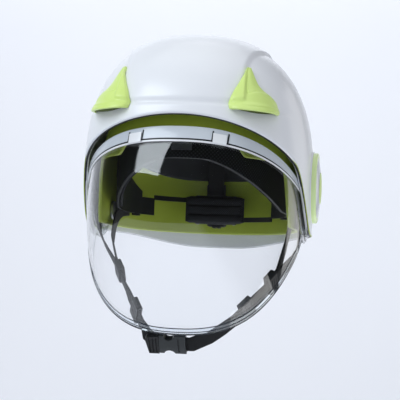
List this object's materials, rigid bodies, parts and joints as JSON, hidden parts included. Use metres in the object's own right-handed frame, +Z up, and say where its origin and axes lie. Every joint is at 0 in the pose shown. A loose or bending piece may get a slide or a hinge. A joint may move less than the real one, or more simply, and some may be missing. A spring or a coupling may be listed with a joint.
{
  "type": "rescue helmet",
  "caption": "Jet-style rescue helmet with a white outer shell over a lime inner shell, a clear face shield that slides up between them, side pods and a buckled chin strap",
  "frame": {"origin": "the middle of the wearer's head, on the middle plane and level with the side pods", "axes": "+Z up, -Y the way the wearer looks, +X the wearer's left"},
  "size_m": [0.231, 0.2883, 0.299],
  "materials": {
    "white_shell": "gloss",
    "lime_shell": "satin",
    "foam": "matte",
    "clear_visor": "gloss",
    "trim": "gloss",
    "pod_white": "gloss",
    "black_plastic": "matte",
    "grey_plastic": "matte",
    "steel": "brushed",
    "webbing": "woven",
    "mesh": "perforated"
  },
  "bodies": {
    "helmet": {"outer_shell": "white_shell", "inner_shell": "lime_shell", "impact_liner": "foam", "left_vent_scoop": "lime_shell", "right_vent_scoop": "lime_shell", "pivot_pins": "steel", "friction_washers": "grey_plastic", "left_pod_base": "lime_shell", "right_pod_base": "lime_shell", "left_pod_cap": "pod_white", "right_pod_cap": "pod_white", "left_pod_insert": "lime_shell", "right_pod_insert": "lime_shell", "pod_screws": "steel", "headband": "black_plastic", "brow_pad": "foam", "headband_cover": "mesh", "cradle_clips": "grey_plastic", "crown_strap_long": "webbing", "crown_strap_cross": "webbing", "crown_pad": "foam", "nape_housing": "grey_plastic", "nape_cover": "grey_plastic", "nape_screws": "steel", "nape_pad": "foam", "left_anchor": "black_plastic", "right_anchor": "black_plastic", "rear_anchors": "black_plastic", "left_front_strap": "webbing", "right_front_strap": "webbing", "left_rear_strap": "webbing", "right_rear_strap": "webbing", "left_keeper_loop": "black_plastic", "right_keeper_loop": "black_plastic", "left_chin_strap": "webbing", "right_chin_strap": "webbing", "buckle_socket": "black_plastic"},
    "visor": {"visor": "clear_visor", "visor_top_band": "trim", "visor_clips": "trim", "visor_hubs": "grey_plastic"},
    "dial": {"nape_dial": "black_plastic", "nape_pinion": "grey_plastic"},
    "left_arm": {"left_band_arm": "black_plastic"},
    "right_arm": {"right_band_arm": "black_plastic"},
    "clip": {"buckle_clip": "black_plastic"},
    "left_slider": {"left_adjuster": "black_plastic"},
    "right_slider": {"right_adjuster": "black_plastic"}
  },
  "joints": [
    {"name": "visor_hinge", "type": "hinge", "parent": "helmet", "child": "visor", "pos_m": [0, 0.006, -0.0236], "axis": [-1, 0, 0], "range_deg": [0, 75]},
    {"name": "dial_turn", "type": "hinge", "parent": "helmet", "child": "dial", "pos_m": [0, 0.11, -0.014], "axis": [0, 1, 0], "range_deg": [-180, 180]},
    {"name": "left_arm_turn", "type": "hinge", "parent": "helmet", "child": "left_arm", "pos_m": [0, 0.022, -0.014], "axis": [0, 0, 1], "range_deg": [-13, 13]},
    {"name": "right_arm_turn", "type": "hinge", "parent": "helmet", "child": "right_arm", "pos_m": [0, 0.022, -0.014], "axis": [0, 0, 1], "range_deg": [-13, 13]},
    {"name": "buckle_release", "type": "slide", "parent": "helmet", "child": "clip", "axis": [-1, 0, 0], "range_m": [0, 0.025], "deforming": ["right_chin_strap"]},
    {"name": "left_adjust", "type": "slide", "parent": "helmet", "child": "left_slider", "axis": [-0.5986, -0.4339, -0.6734], "range_m": [-0.006, 0.006]},
    {"name": "right_adjust", "type": "slide", "parent": "helmet", "child": "right_slider", "axis": [0.4988, -0.4841, -0.7189], "range_m": [-0.006, 0.006]}
  ],
  "couplings": [
    {"joint": "left_arm_turn", "follows": "dial_turn", "ratio": 0.070588},
    {"joint": "right_arm_turn", "follows": "dial_turn", "ratio": -0.070588}
  ]
}
